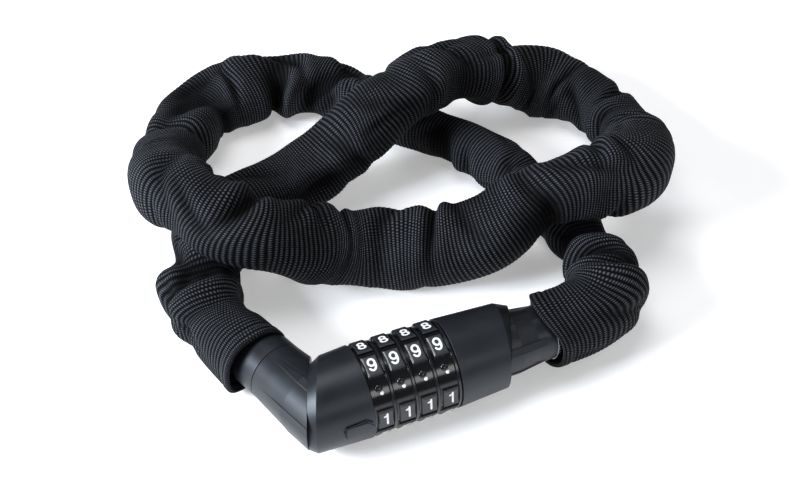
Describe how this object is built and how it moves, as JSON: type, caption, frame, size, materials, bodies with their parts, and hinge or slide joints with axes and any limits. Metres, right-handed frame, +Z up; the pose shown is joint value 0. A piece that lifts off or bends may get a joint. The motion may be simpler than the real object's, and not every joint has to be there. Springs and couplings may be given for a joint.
{
  "type": "combination chain lock",
  "caption": "Number-dial chain lock: a black barrel with an elbow neck and a pull-out plug, closed on a long chain in a woven fabric sleeve.",
  "frame": {"origin": "under the middle of the hardware (barrel, elbow neck and plug), on the surface that the lock lies on", "axes": "+X along the barrel from the elbow end to the plug end, +Y towards the chain's loops, +Z up"},
  "size_m": [0.2327, 0.2267, 0.0507],
  "materials": {
    "housing_plastic": "satin moulded black",
    "dial_plastic": "smooth moulded black with a soft gloss",
    "ring_brass": "turned and broached",
    "pin_steel": "turned and plated",
    "cast_zinc": "die cast",
    "spring_steel": "drawn and blued",
    "washer_plastic": "smooth",
    "seal_rubber": "smooth",
    "ferrule_chrome": "bright",
    "sleeve_fabric": "coarse woven nylon",
    "chain_steel": "hardened and plated"
  },
  "bodies": {
    "lock_body": {"left_housing": "housing_plastic", "left_insert": "cast_zinc", "elbow_neck": "housing_plastic", "neck_collar": "housing_plastic", "elbow_rod": "pin_steel", "left_anchor_pin": "pin_steel", "core_tube": "pin_steel", "roll_pins": "pin_steel", "click_spring": "spring_steel", "pack_spring": "spring_steel", "thrust_washer": "spring_steel", "dial_washers": "washer_plastic", "right_housing": "housing_plastic", "right_insert": "cast_zinc", "sleeve_main": "sleeve_fabric", "chain_links": "chain_steel"},
    "number_dial_1": {"dial_1": "dial_plastic", "code_ring_1": "ring_brass"},
    "number_dial_2": {"dial_2": "dial_plastic", "code_ring_2": "ring_brass"},
    "number_dial_3": {"dial_3": "dial_plastic", "code_ring_3": "ring_brass"},
    "number_dial_4": {"dial_4": "dial_plastic", "code_ring_4": "ring_brass"},
    "plug": {"plug_pin": "pin_steel", "plug_neck": "housing_plastic", "plug_ferrule": "ferrule_chrome", "plug_seal": "seal_rubber", "right_anchor_pin": "pin_steel", "sleeve_plug_end": "sleeve_fabric", "chain_links_plug_end": "chain_steel"}
  },
  "joints": [
    {"name": "plug_slide", "type": "slide", "parent": "lock_body", "child": "plug", "axis": [1, 0, 0], "range_m": [0, 0.036], "deforming": ["sleeve_plug_end", "chain_links_plug_end"]},
    {"name": "dial_1_turn", "type": "hinge", "parent": "lock_body", "child": "number_dial_1", "pos_m": [-0.00739, -0.01532, 0.01763], "axis": [1, 0, 0], "continuous": true},
    {"name": "dial_2_turn", "type": "hinge", "parent": "lock_body", "child": "number_dial_2", "pos_m": [-0.00739, -0.01532, 0.01763], "axis": [1, 0, 0], "continuous": true},
    {"name": "dial_3_turn", "type": "hinge", "parent": "lock_body", "child": "number_dial_3", "pos_m": [-0.00739, -0.01532, 0.01763], "axis": [1, 0, 0], "continuous": true},
    {"name": "dial_4_turn", "type": "hinge", "parent": "lock_body", "child": "number_dial_4", "pos_m": [-0.00739, -0.01532, 0.01763], "axis": [1, 0, 0], "continuous": true}
  ]
}
